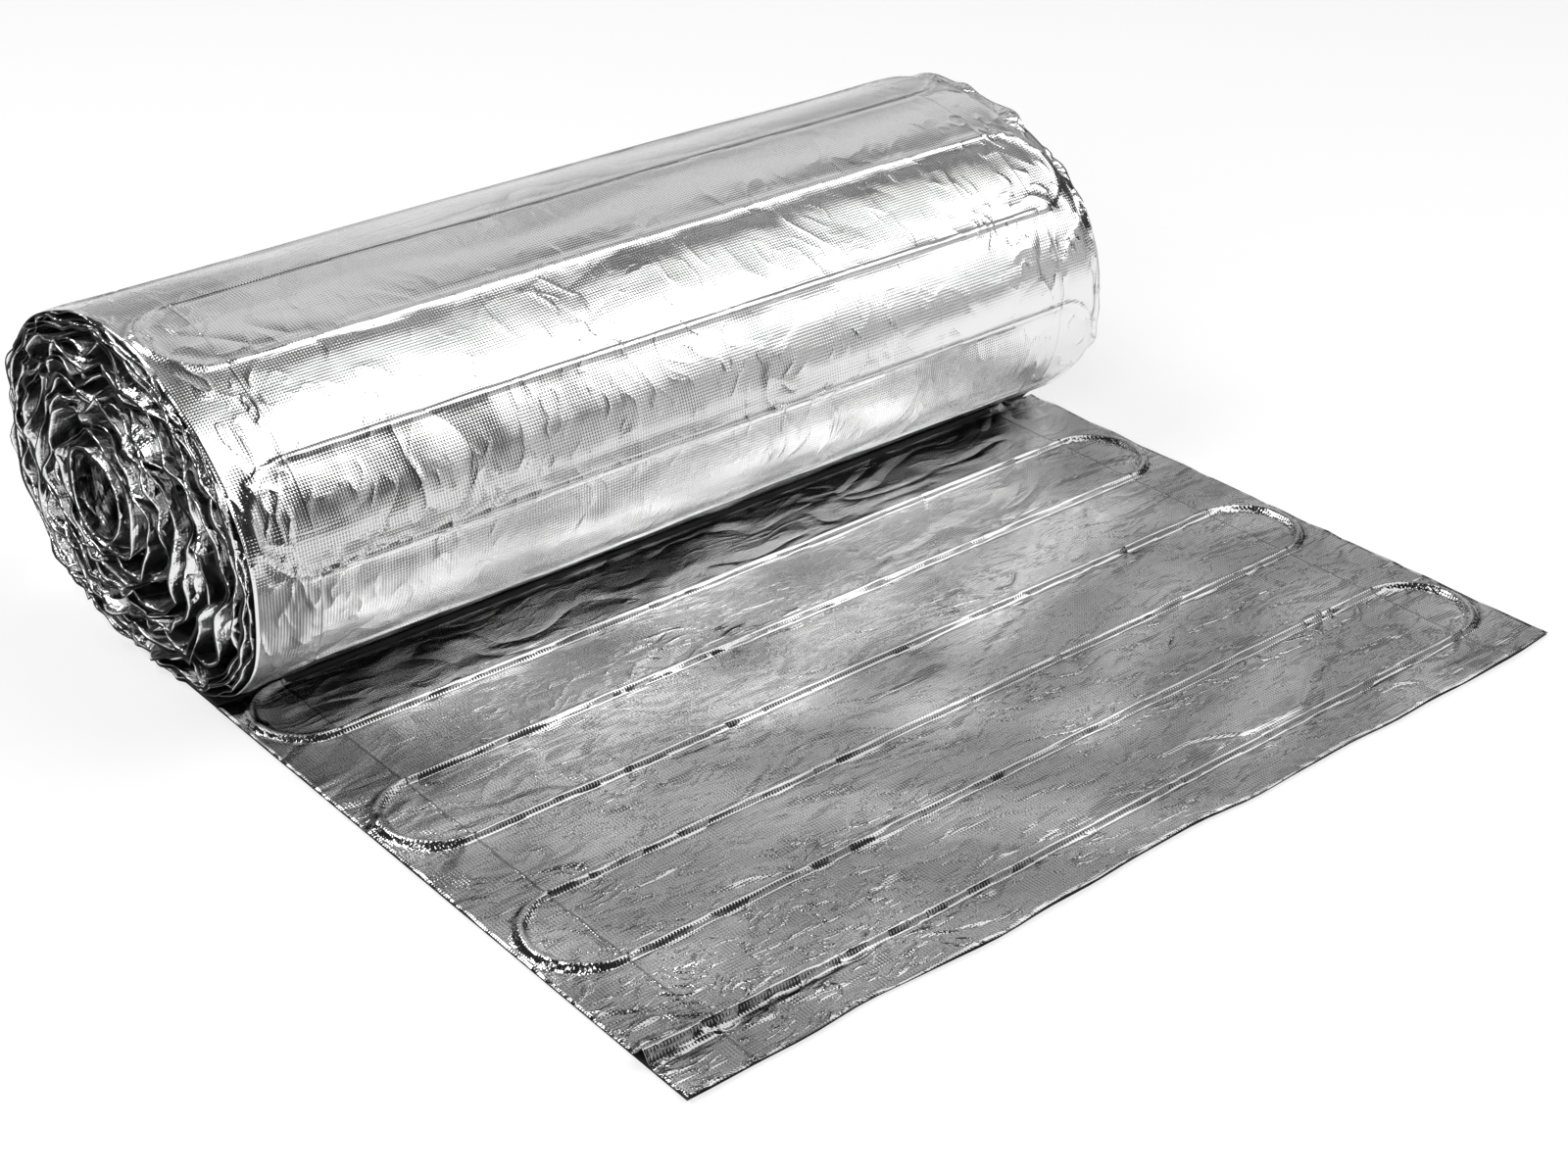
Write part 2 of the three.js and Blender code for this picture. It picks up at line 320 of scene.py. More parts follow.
# %% [markdown]
# A sheet starts as a flat bmesh grid with one vertex for each crossing of two sets of lines. The lines lie
# closer together where a ridge needs them. Then each vertex is moved to its place, and the strip's own
# coordinates are kept as a UV map in metres, so that the weave follows the foil round the roll.

# %% Making a sheet from lines
def spaced(stops, steps):
    """Lines from stop to stop, at the step given for each stretch."""
    lines = [np.array([stops[0]])]
    for low, high, step in zip(stops, stops[1:], steps):
        lines.append(np.linspace(low, high, max(1, round((high - low) / step)) + 1)[1:])
    return np.concatenate(lines)


def sheet_piece(name, x_lines, along_lines, place, looks, thickness, to_cable=None, inside_out=False):
    """A sheet with a vertex at each crossing of the lines, moved by place(x, along), and given its thickness.

    looks(x, along) gives how creased the foil is there, how its tone and painted light brighten it, and its
    painted shade marks.

    Where to_cable(x, along) is small, long edges are cut in three, so that a bend of the cable stays round.
    """
    shape = bmesh.new()
    columns, rows = len(x_lines) - 1, len(along_lines) - 1
    bmesh.ops.create_grid(shape, x_segments=columns, y_segments=rows, size=1)
    for vertex in shape.verts:
        column, row = round((vertex.co.x + 1) / 2 * columns), round((vertex.co.y + 1) / 2 * rows)
        vertex.co = (x_lines[column], along_lines[row], 0)
    if to_cable:
        spots = np.array([vertex.co[:2] for vertex in shape.verts])
        close = to_cable(spots[:, 0], spots[:, 1]) < 4.6 * MM
        beyond = np.abs(spots[:, 0] - middle_x) > turn_centre - 3 * MM
        chosen = close & beyond
        shape.verts.index_update()
        long_edges = [edge for edge in shape.edges if edge.calc_length() > 1.5 * MM
                      and chosen[edge.verts[0].index] and chosen[edge.verts[1].index]]
        bmesh.ops.subdivide_edges(shape, edges=long_edges, cuts=2, use_grid_fill=True)
    if inside_out:
        bmesh.ops.reverse_faces(shape, faces=shape.faces[:])
    mesh = bpy.data.meshes.new(name)
    shape.to_mesh(mesh)
    shape.free()
    flat = np.zeros(len(mesh.vertices) * 3)
    mesh.vertices.foreach_get("co", flat)
    x, along = flat[0::3], flat[1::3]
    mesh.vertices.foreach_set("co", np.column_stack(place(x, along)).ravel())
    corners = np.zeros(len(mesh.loops), int)
    mesh.loops.foreach_get("vertex_index", corners)
    strip = mesh.uv_layers.new(name="strip")
    strip.data.foreach_set("uv", np.column_stack([x, along])[corners].ravel())
    for layer, values in zip(("creased", "tone_and_painted_light", "painted_shade_marks"), looks(x, along)):
        kept = mesh.attributes.new(layer, "FLOAT", "POINT")
        kept.data.foreach_set("value", np.clip(values + 0 * x, 0, 2))
    mesh.polygons.foreach_set("use_smooth", np.ones(len(mesh.polygons), bool))
    mesh.update()
    piece = bpy.data.objects.new(name, mesh)
    bpy.context.scene.collection.objects.link(piece)
    wall = piece.modifiers.new("thickness", "SOLIDIFY")
    wall.thickness = thickness
    wall.offset = -1
    wall.material_offset = 1
    wall.material_offset_rim = 1
    print(name, "has", 2 * (len(mesh.loops) - 2 * len(mesh.polygons)), "triangles with its thickness")
    return piece


def across_lines(middle_step):
    """Lines across the mat: close together at the cable's turns and at the yarns."""
    beside_yarn = 1.2 * MM
    stops = [0, turn_centre - beside_yarn, turn_centre + beside_yarn, mat_width / 2]
    one_side = spaced(stops, [middle_step, 0.6 * MM, 2.4 * MM])
    return middle_x + np.concatenate([-one_side[:0:-1], one_side])


def along_lines(start, stop, phase, fine_step, coarse_step, first_near=run_margin):
    """Lines along the strip: close together at each run of the cable. Phase is where the first run lies."""
    first = math.ceil((start - phase - run_margin) / run_pitch)
    last = math.floor((stop - phase + run_margin) / run_pitch)
    stops, steps = [start], []
    for run in range(first, last + 1):
        near = first_near if run == first else run_margin
        middle = phase + run * run_pitch
        for at, step in ((middle - near, coarse_step), (middle + near, fine_step)):
            if stops[-1] + 0.5 * MM < at < stop:
                stops.append(at)
                steps.append(step)
    stops.append(stop)
    steps.append(coarse_step)
    return spaced(stops, steps)


print("lines across the mat at 3 mm:", len(across_lines(3 * MM)))

# %% [markdown]
# Aluminium foil on a woven scrim. Rolled foil is bright, and the scrim pressed into its back shows as a fine
# weave. The metal mirrors its surroundings, slightly blurred by the rolling marks. Bumps give it its life:
# broad planes that meet at soft folds, sharp wrinkles in two sizes, dull dents, and the weave. Wrinkles run
# the way the foil was pushed, so their length and width are set for each piece, and they are deepest where
# the piece's own attribute says that the foil is creased. Two more attributes set the colour: one mixes a
# random tone with painted light, and the other paints shade as dark lines and spots. The real threads lie
# about 1.2 mm apart, and they are drawn at 1.5 mm so that they show in a render.

# %% Foil finish
drift_size, drift_reach = 50 * MM, 22 * MM  # how broadly and how far the patterns wander
dent_size = 9 * MM
thread_pitch = 1.5 * MM
waves_per_scale = 20 / (2 * math.pi)  # how often a wave texture repeats in a metre at a scale of 1
rim_depth, dark_depth = 4 * MM, 80 * MM  # from where to where the painted shade between the turns deepens


def foil_finish(name, hex_colour, fold_size, fold_depth, wrinkle_size, wrinkle_depth, dent_depth,
                thread_depth, dim_tone_hex="#a6a6a6", roughness=(0.13, 0.23), depth_shade_painted=False):
    """Foil on a scrim. Folds and wrinkles have a length across the mat and one along it, in metres."""
    material, tree = new_material(name)
    strip = add_node(tree, "ShaderNodeUVMap", uv_map="strip")
    creased = add_node(tree, "ShaderNodeAttribute", attribute_name="creased")
    drift = add_node(tree, "ShaderNodeTexNoise", [
        ("Vector", strip.outputs["UV"]), ("Scale", 1 / drift_size), ("Detail", 1.0),
    ], noise_dimensions="2D")
    bent = add_node(tree, "ShaderNodeVectorMath", [
        (0, drift.outputs["Color"]), (1, (drift_reach, drift_reach, 0.0)), (2, strip.outputs["UV"]),
    ], operation="MULTIPLY_ADD")
    planes = add_node(tree, "ShaderNodeMapping", [
        ("Vector", strip.outputs["UV"]), ("Rotation", (0.0, 0.0, -0.2)),
        ("Scale", (1 / fold_size[0], 1 / fold_size[1], 1.0)),
    ])
    swell = add_node(tree, "ShaderNodeTexNoise", [
        ("Vector", planes.outputs["Vector"]), ("Scale", 1.0), ("Detail", 1.0), ("Distortion", 0.6),
    ], noise_dimensions="2D")
    level = add_node(tree, "ShaderNodeMath", [(0, swell.outputs["Fac"]), (1, 0.5)], operation="SUBTRACT")
    folded = add_node(tree, "ShaderNodeMath", [(0, level.outputs["Value"])], operation="ABSOLUTE")
    in_planes = add_node(tree, "ShaderNodeBump", [
        ("Height", folded.outputs["Value"]), ("Distance", fold_depth), ("Strength", 1.0),
    ])
    normal = in_planes.outputs["Normal"]
    for share, sharpness in ((1.0, 1.0), (0.45, 0.5)):
        placed = add_node(tree, "ShaderNodeMapping", [
            ("Vector", bent.outputs["Vector"]), ("Rotation", (0.0, 0.0, -0.25 * share)),
            ("Scale", (1 / (wrinkle_size[0] * share), 1 / (wrinkle_size[1] * share), 1.0)),
        ])
        network = add_node(tree, "ShaderNodeTexNoise", [
            ("Vector", placed.outputs["Vector"]), ("Scale", 1.0), ("Detail", 0.0), ("Offset", 1.0),
        ], noise_type="RIDGED_MULTIFRACTAL", normalize=False, noise_dimensions="2D")
        crests = add_node(tree, "ShaderNodeMath", [
            (0, network.outputs["Fac"]), (1, 2.2),
        ], operation="POWER")
        gaps = add_node(tree, "ShaderNodeTexNoise", [
            ("Vector", placed.outputs["Vector"]), ("Scale", 0.7), ("Detail", 1.0),
        ], noise_dimensions="2D")
        broken = add_node(tree, "ShaderNodeMapRange", [
            ("Value", gaps.outputs["Fac"]), ("From Min", 0.47), ("From Max", 0.62),
        ])
        deepest = add_node(tree, "ShaderNodeMath", [
            (0, broken.outputs["Result"]), (1, creased.outputs["Fac"]),
        ], operation="MULTIPLY")
        wrinkles = add_node(tree, "ShaderNodeMath", [
            (0, crests.outputs["Value"]), (1, deepest.outputs["Value"]),
        ], operation="MULTIPLY")
        bump = add_node(tree, "ShaderNodeBump", [
            ("Height", wrinkles.outputs["Value"]), ("Distance", wrinkle_depth * sharpness), ("Strength", 1.0),
            ("Normal", normal),
        ])
        normal = bump.outputs["Normal"]
    dents = add_node(tree, "ShaderNodeTexVoronoi", [
        ("Vector", bent.outputs["Vector"]), ("Scale", 1 / dent_size),
    ], feature="F1", voronoi_dimensions="2D")
    dented = add_node(tree, "ShaderNodeBump", [
        ("Height", dents.outputs["Distance"]), ("Distance", dent_depth), ("Strength", 1.0),
        ("Normal", normal),
    ])
    thread_scale = 1 / (waves_per_scale * thread_pitch)
    warp = add_node(tree, "ShaderNodeTexWave", [
        ("Vector", strip.outputs["UV"]), ("Scale", thread_scale),
    ], bands_direction="X")
    weft = add_node(tree, "ShaderNodeTexWave", [
        ("Vector", strip.outputs["UV"]), ("Scale", thread_scale),
    ], bands_direction="Y")
    threads = add_node(tree, "ShaderNodeMath", [
        (0, warp.outputs["Fac"]), (1, weft.outputs["Fac"]),
    ], operation="MAXIMUM")
    woven = add_node(tree, "ShaderNodeBump", [
        ("Height", threads.outputs["Value"]), ("Distance", thread_depth), ("Strength", 1.0),
        ("Normal", dented.outputs["Normal"]),
    ])
    dulled = add_node(tree, "ShaderNodeMapRange", [
        ("Value", drift.outputs["Fac"]), ("From Min", 0.3), ("From Max", 0.7), ("To Min", roughness[0]),
        ("To Max", roughness[1]),
    ])
    colour = linear(hex_colour)
    # Painted shade: towards the middle of the mat the colour darkens to grey, for the shade deep between the
    # turns.
    if depth_shade_painted:
        across = add_node(tree, "ShaderNodeSeparateXYZ", [("Vector", strip.outputs["UV"])])
        off_middle = add_node(tree, "ShaderNodeMath", [
            (0, across.outputs["X"]), (1, middle_x),
        ], operation="SUBTRACT")
        to_middle = add_node(tree, "ShaderNodeMath", [(0, off_middle.outputs["Value"])], operation="ABSOLUTE")
        depth = add_node(tree, "ShaderNodeMapRange", [
            ("Value", to_middle.outputs["Value"]), ("From Min", mat_width / 2 - dark_depth),
            ("From Max", mat_width / 2 - rim_depth),
        ])
        shaded = add_node(tree, "ShaderNodeMix", [
            ("Factor", depth.outputs["Result"]), ("A", linear("#4c4c4e")), ("B", colour),
        ], data_type="RGBA")
        colour = shaded.outputs["Result"]
    # Painted light and random tone: the colour runs from a dim tone up to the foil's own, as the piece's
    # attribute says.
    tone_and_painted_light = add_node(tree, "ShaderNodeAttribute", attribute_name="tone_and_painted_light")
    toned_and_lit = add_node(tree, "ShaderNodeMix", [
        ("Factor", tone_and_painted_light.outputs["Fac"]), ("A", linear(dim_tone_hex)), ("B", colour),
    ], data_type="RGBA")
    # Painted shade: near black where the piece's attribute marks a slit, a yarn or a knot.
    painted_shade_marks = add_node(tree, "ShaderNodeAttribute", attribute_name="painted_shade_marks")
    shade_marked = add_node(tree, "ShaderNodeMix", [
        ("Factor", painted_shade_marks.outputs["Fac"]), ("A", toned_and_lit.outputs["Result"]), ("B", linear("#0c0c0d")),
    ], data_type="RGBA")
    colour = shade_marked.outputs["Result"]
    surface = add_node(tree, "ShaderNodeBsdfPrincipled", [
        ("Base Color", colour), ("Metallic", 1.0), ("Roughness", dulled.outputs["Result"]),
        ("Normal", woven.outputs["Normal"]),
    ])
    add_node(tree, "ShaderNodeOutputMaterial", [("Surface", surface.outputs["BSDF"])])
    return material


flat_finish = foil_finish(
    "aluminium foil on scrim, laid flat", "#ececec", fold_size=(52 * MM, 24 * MM), fold_depth=4.4 * MM,
    wrinkle_size=(22 * MM, 8 * MM), wrinkle_depth=0.85 * MM, dent_depth=0.1 * MM, thread_depth=0.08 * MM,
    roughness=(0.07, 0.13))
wound_finish = foil_finish(
    "aluminium foil on scrim, wound", "#ececec", fold_size=(110 * MM, 60 * MM), fold_depth=2.2 * MM,
    wrinkle_size=(22 * MM, 30 * MM), wrinkle_depth=0.6 * MM, dent_depth=0.06 * MM, thread_depth=0.06 * MM,
    roughness=(0.1, 0.19))
edge_finish = foil_finish(
    "aluminium foil on scrim, crumpled edges", "#ececec", fold_size=(20 * MM, 16 * MM), fold_depth=4.5 * MM,
    wrinkle_size=(12 * MM, 12 * MM), wrinkle_depth=0.7 * MM, dent_depth=0.25 * MM, thread_depth=0.06 * MM,
    depth_shade_painted=True)
print("nodes in a foil finish:", len(flat_finish.node_tree.nodes))

# %% [markdown]
# Inside the laminate, where the cable lies, each foil is backed by a film of dull grey polyester with its
# adhesive. It shows at the sheets' cut edges, in the tunnel's mouth and in the dark gaps between the turns of
# the roll. It is darker here than a clean film would be, because it stands for the shadow between two sheets
# as well.

# %% Film finish
film_and_shade_finish, tree = new_material("polyester film with adhesive and painted shade")
surface = add_node(tree, "ShaderNodeBsdfPrincipled", [("Base Color", linear("#1b1b1c")), ("Roughness", 0.5)])
add_node(tree, "ShaderNodeOutputMaterial", [("Surface", surface.outputs["BSDF"])])
print("finish:", film_and_shade_finish.name)

# %% [markdown]
# The foil is drawn tight over the cable, so each run shows as a narrow tent, and over each yarn as a thin
# line. Where the yarn ties the cable down, the tent is pinched. The tents are part of the sheet's own shape,
# because a bump can't hide the cable that lies under it.

# %% Ridges over the cable and the yarns
yarn_lines = (middle_x - turn_centre, middle_x + turn_centre)
tent_half_width = 2.6 * MM
knot_half_width = 1.2 * MM
yarn_half_width = 0.9 * MM


def ridge_height(x, along, rise, half_width, pinch):
    """The tent of foil over the cable: slack in places, broad at the turns, pinched where a yarn is tied."""
    slack = 1 + ripples(x, along, 6, (24 * MM, 90 * MM), (30 * MM, 90 * MM), 0.12)
    at_turn = smooth_step(np.abs(x - middle_x), turn_centre, turn_centre + 16 * MM)
    share = np.clip(cable_distance(x, along) / (half_width * slack * (1 + 0.4 * at_turn)), 0, 1)
    knot = np.maximum(bell(x - yarn_lines[0], knot_half_width), bell(x - yarn_lines[1], knot_half_width))
    return rise * (1 - pinch * knot) * (1 - share ** 2.2) ** 1.8


def yarn_height(x, along, rise):
    """The thin line of foil over each yarn."""
    on_yarn = np.maximum(bell(x - yarn_lines[0], yarn_half_width), bell(x - yarn_lines[1], yarn_half_width))
    return rise * on_yarn


print("yarns at x in mm:", [round(line / MM) for line in yarn_lines])

# %% [markdown]
# Handled foil isn't creased evenly. In the photograph the creases lie in clusters: at the corner by the
# tunnel's mouth, along the first run, and in patches between the runs. Each patch is x from the left edge,
# the place along the strip, how far it reaches both ways, its turn and how creased it is. Near the roll the
# foil is painted brighter, as painted light over a random tone. Painted shade darkens lines along the yarns,
# spots at the knots and a black slit at the foot of the first tunnel.

# %% Creases, painted light and painted shade of the flat foil
shade_slit_offset = 4.4 * MM  # from the first run to the foot of its tunnel, where a black line of painted shade lies
crease_patches = [(205, 244, 60, 22, 0.0, 1.1), (60, 118, 26, 12, 0.0, 0.9), (110, 175, 50, 10, 0.1, 0.8),
                  (140, 88, 60, 12, -0.1, 0.9), (215, 20, 34, 9, -0.2, 1.4), (285, 84, 36, 6, 0.1, 0.9),
                  (380, 72, 74, 3.2, 0.02, 2.0), (405, 110, 52, 2.6, 0.02, 1.4), (290, 122, 50, 14, 0.1, 0.7),
                  (110, 240, 40, 12, 0.0, 0.7), (330, 200, 60, 14, 0.1, 0.5), (430, 30, 40, 12, 0.3, 0.5)]


def flat_creased(x, along):
    """How creased the flat foil is: most by the tunnel's mouth, along the first run, and in patches."""
    corner = smooth_step(left_edge + 200 * MM - x, 0, 110 * MM) * smooth_step(100 * MM - along, 0, 45 * MM)
    first_tunnel = bell(along - first_run, 14 * MM) * smooth_step(left_edge + 300 * MM - x, 0, 200 * MM)
    most = np.maximum(corner * 1.1, first_tunnel * 1.4)
    for patch_x, patch_along, reach_x, reach_along, turn, amount in crease_patches:
        from_x, from_along = x - left_edge - patch_x * MM, along - patch_along * MM
        forward = (from_x * math.cos(turn) + from_along * math.sin(turn)) / (reach_x * MM)
        sideways = (from_along * math.cos(turn) - from_x * math.sin(turn)) / (reach_along * MM)
        most = np.maximum(most, amount * np.exp(-forward ** 2 - sideways ** 2))
    calm = smooth_step(cable_distance(x, along), 1.5 * MM, 6 * MM)
    return (0.3 + 0.85 * most) * (0.2 + 0.8 * calm)


def flat_looks(x, along):
    """How creased, how bright and how dark the flat foil is."""
    # Painted light: the foil is made brighter towards the roll, away from the side edges; the patchy part is
    # random tone.
    painted_light_by_roll = smooth_step(along, 150 * MM, 215 * MM) * smooth_step(x - left_edge, 20 * MM, 110 * MM)
    painted_light_by_roll = painted_light_by_roll * smooth_step(right_edge - x, 20 * MM, 110 * MM)
    # Painted shade: dark lines along the yarns, spots at the knots, and a black slit at the first tunnel's
    # foot.
    on_run = 1 - smooth_step(cable_distance(x, along), 0.9 * MM, 1.5 * MM)
    on_yarn = 0.6 * bell(x - yarn_lines[0], 0.8 * MM) + 0.3 * bell(x - yarn_lines[1], 0.8 * MM)
    on_knot = np.maximum(bell(x - yarn_lines[0], 1.1 * MM), bell(x - yarn_lines[1], 1.1 * MM)) * on_run
    painted_slit = bell(along - first_run + shade_slit_offset, 1.6 * MM) * smooth_step(x - left_edge, 36 * MM, 46 * MM)
    painted_slit = painted_slit * smooth_step(left_edge + 104 * MM - x, 0, 16 * MM)
    patchy = ripples(x, along, 6, (60 * MM, 180 * MM), (40 * MM, 120 * MM), 0.3)
    tone_and_painted_light = 0.12 + 0.75 * painted_light_by_roll + patchy
    return flat_creased(x, along), tone_and_painted_light, np.maximum(np.maximum(on_yarn, on_knot), painted_slit)


print("patches of creases:", len(crease_patches))

# %% [markdown]
# The upper sheet of the flat stretch. Its first tunnel widens into a puckered mouth at the left edge, where
# the supply lead leaves. Broad waves and a seeded list of folds make it uneven, and the cut free edge wanders
# and curls a little.

# %% Upper sheet
mouth_reach = 120 * MM
free_edge_waves = [(83 * MM, 0.4, 0.5 * MM), (141 * MM, 2.1, 0.8 * MM), (47 * MM, 4.4, 0.25 * MM),
                   (236 * MM, 1.0, 0.8 * MM)]  # each a length, a phase and a height
flat_folds = np.concatenate([
    scatter_folds(110, (left_edge, right_edge), (0, laid_length), 0.25, 0.5,
                  (10 * MM, 36 * MM), (2 * MM, 5 * MM), (0.2 * MM, 0.8 * MM)),
    scatter_folds(40, (left_edge + 5 * MM, left_edge + 130 * MM), (34 * MM, 76 * MM), 0.45, 0.35,
                  (10 * MM, 30 * MM), (0.8 * MM, 2 * MM), (0.3 * MM, 0.9 * MM)),
    scatter_folds(30, (left_edge + 5 * MM, left_edge + 230 * MM), (17 * MM, 37 * MM), 0.05, 0.25,
                  (8 * MM, 26 * MM), (0.8 * MM, 1.8 * MM), (0.3 * MM, 1.0 * MM)),
])


def free_edge_wave(x):
    """How far the cut free edge wanders to and fro across the mat."""
    return sum(rise * np.sin(2 * np.pi * x / length + phase) for length, phase, rise in free_edge_waves)


def upper_place(x, along):
    """Where the points of the upper sheet lie."""
    to_mouth = np.clip(1 - (x - left_edge) / mouth_reach, 0, 1)
    from_tunnel = along - first_run
    ridge = ridge_height(x, along, tunnel_top - sheets_top, tent_half_width, 0.08)
    mouth_half = (3.2 + 3 * to_mouth) * MM
    off_crest = np.clip(np.abs(from_tunnel) / mouth_half, 0, 1)
    mouth = 4.6 * MM * to_mouth ** 0.7 * (1 - off_crest ** 1.15) ** 1.1
    puckers = ripples(x, along, 6, (16 * MM, 40 * MM), (14 * MM, 40 * MM), 0.45 * MM) * to_mouth ** 0.5
    waves = ripples(x, along, 9, (60 * MM, 220 * MM), (25 * MM, 90 * MM), 0.45 * MM)
    folds = fold_height(x, along, flat_folds)
    calm = smooth_step(cable_distance(x, along), 1 * MM, 9 * MM)
    near_mouth = to_mouth ** 0.5 * bell(from_tunnel, 14 * MM)
    loose = np.abs(waves + folds * np.maximum(calm, near_mouth) + puckers * bell(from_tunnel, 22 * MM))
    loose = loose * (0.25 + 0.75 * np.maximum(calm, near_mouth))
    at_edge = smooth_step(-along, -12 * MM, 0)
    curl = 0.9 * MM * at_edge * (1 + 0.5 * np.sin(x / (31 * MM)) * np.sin(x / (17 * MM) + 1))
    y = free_edge + along + free_edge_wave(x) * at_edge
    z = sheets_top + np.maximum(ridge, mouth + 0.6 * ridge) + yarn_height(x, along, 0.2 * MM) + loose + curl
    return x, y, z


upper_lines = along_lines(0, sheet_back - free_edge, first_run, 0.48 * MM, 2.9 * MM, 8 * MM)
upper = sheet_piece("upper_foil_sheet", across_lines(3.1 * MM), upper_lines, upper_place, flat_looks,
                    0.2 * MM, cable_distance)
upper.data.materials.append(flat_finish)
upper.data.materials.append(film_and_shade_finish)
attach(upper, "root")
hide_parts("upper_foil")

# %% [markdown]
# The lower sheet lies flat on the floor under it, and only its edge and the tunnel's floor show.

# %% Lower sheet
def lower_place(x, along):
    """Where the points of the lower sheet lie."""
    y = free_edge + along + (free_edge_wave(x) + 0.4 * MM) * smooth_step(-along, -12 * MM, 0)
    return x, y, 0.05 * MM + 0 * x


lower = sheet_piece("lower_foil_sheet", spaced([left_edge, right_edge], [10 * MM]),
                    spaced([0, sheet_back - free_edge], [8 * MM]), lower_place, flat_looks, 0.18 * MM,
                    inside_out=True)
lower.data.materials.append(flat_finish)
lower.data.materials.append(film_and_shade_finish)
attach(lower, "root")
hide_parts("lower_foil")

# %% [markdown]
# The roll has sagged under its own weight into an oval with a broad foot. Each turn is a superellipse, as in
# the CAD source: round at the bore, and squarer towards the outside and the bottom. The strip leaves the flat
# stretch at the bottom, climbs the back, comes over the top and down the front, and tucks in above itself.

# %% The roll's turns
bore_radius = 19 * MM
bore_height = 84 * MM
half_across = 114 * MM
foot_bite = 1 * MM  # how far the roll's weight flattens its underside
outer_half = (162 * MM + foot_bite) / 2
top_exponent, bottom_exponent = 1.9, 2.6
turn_count = 12
top_run = 13  # the run of the cable that lies along the roll's top
tuck_start, tuck_end, tuck_depth = 0.78, 1.02, 0.2  # counted in turns: where and how far the strip tucks in
close_turns, close_pitch = 2.5, 0.34  # the turns that lie close under the outermost one, and their pitch


def oval(share, angle):
    """Points y and z of a turn. Share is 0 at the bore and 1 outside, and the angle is 0 at the back."""
    across = bore_radius + (half_across - bore_radius) * share
    up = bore_radius + (outer_half - bore_radius) * share
    centre = bore_height + (outer_half - foot_bite - bore_height) * share
    outer = np.where(np.sin(angle) < 0, bottom_exponent, top_exponent)
    power = 2 / (2 + (outer - 2) * share)
    y = across * np.sign(np.cos(angle)) * np.abs(np.cos(angle)) ** power
    z = centre + up * np.sign(np.sin(angle)) * np.abs(np.sin(angle)) ** power
    return roll_axis_y + y, z


def share_at(angle):
    """How far out the strip lies, at an angle that starts under the roll and grows by a circle each turn."""
    turns = (angle + math.pi / 2) / (2 * math.pi)
    tucked = tuck_depth * smooth_step(turns, tuck_start, tuck_end)
    tight = close_pitch * np.clip(turns - tuck_end, 0, close_turns)
    loose_from = tuck_end + close_turns
    loose_pitch = (turn_count - tuck_depth - close_pitch * close_turns) / (turn_count - loose_from)
    loose = np.clip(turns - loose_from, 0, None) * loose_pitch
    return np.clip(1 - (tucked + tight + loose) / turn_count, 0, 1)


spiral_angle = np.linspace(-math.pi / 2, (turn_count - 0.25) * 2 * math.pi, 9000)
spiral_y, spiral_z = oval(share_at(spiral_angle), spiral_angle)
spiral_length = np.concatenate([[0], np.cumsum(np.hypot(np.diff(spiral_y), np.diff(spiral_z)))])
top_length = np.interp(math.pi / 2, spiral_angle, spiral_length)
outer_end = np.interp(1.7 * math.pi, spiral_angle, spiral_length)
print("outermost turn", round(outer_end / MM), "mm, all of the roll", round(spiral_length[-1] / MM), "mm")


def on_spiral(length, lift):
    """Points y and z on the spiral at a length from under the roll, lifted off it outwards."""
    angle = np.interp(length, spiral_length, spiral_angle)
    y, z = np.interp(length, spiral_length, spiral_y), np.interp(length, spiral_length, spiral_z)
    after, before = length + 0.5 * MM, length - 0.5 * MM
    ahead_y = np.interp(after, spiral_length, spiral_y) - np.interp(before, spiral_length, spiral_y)
    ahead_z = np.interp(after, spiral_length, spiral_z) - np.interp(before, spiral_length, spiral_z)
    size = np.maximum(np.hypot(ahead_y, ahead_z), 1e-9)
    flat_y = np.minimum(length, 0)  # short of the roll's axis the strip still lies on the floor
    return y + flat_y + lift * ahead_z / size, z - lift * ahead_y / size, angle


# %% [markdown]
# The outermost turn is what shows of the roll. It carries the cable's ridges on at the same pitch, sags a
# little between them, and is crumpled towards both ends, where it has been handled. Short folds run up the
# roll, because the foil is pushed together along the roll's axis.

# %% Outermost turn
roll_folds = np.concatenate([
    scatter_folds(120, (left_edge, right_edge), (0, outer_end), math.pi / 2, 0.35, (8 * MM, 22 * MM),
                  (1.5 * MM, 3.5 * MM), (0.1 * MM, 0.4 * MM)),
    scatter_folds(60, (left_edge, left_edge + 60 * MM), (top_length, outer_end), 1.2, 0.6, (6 * MM, 18 * MM),
                  (1.5 * MM, 3.5 * MM), (0.3 * MM, 0.9 * MM)),
    scatter_folds(60, (right_edge - 60 * MM, right_edge), (0, outer_end), 1.8, 0.6, (6 * MM, 18 * MM),
                  (1.2 * MM, 2.6 * MM), (0.2 * MM, 0.6 * MM)),
])


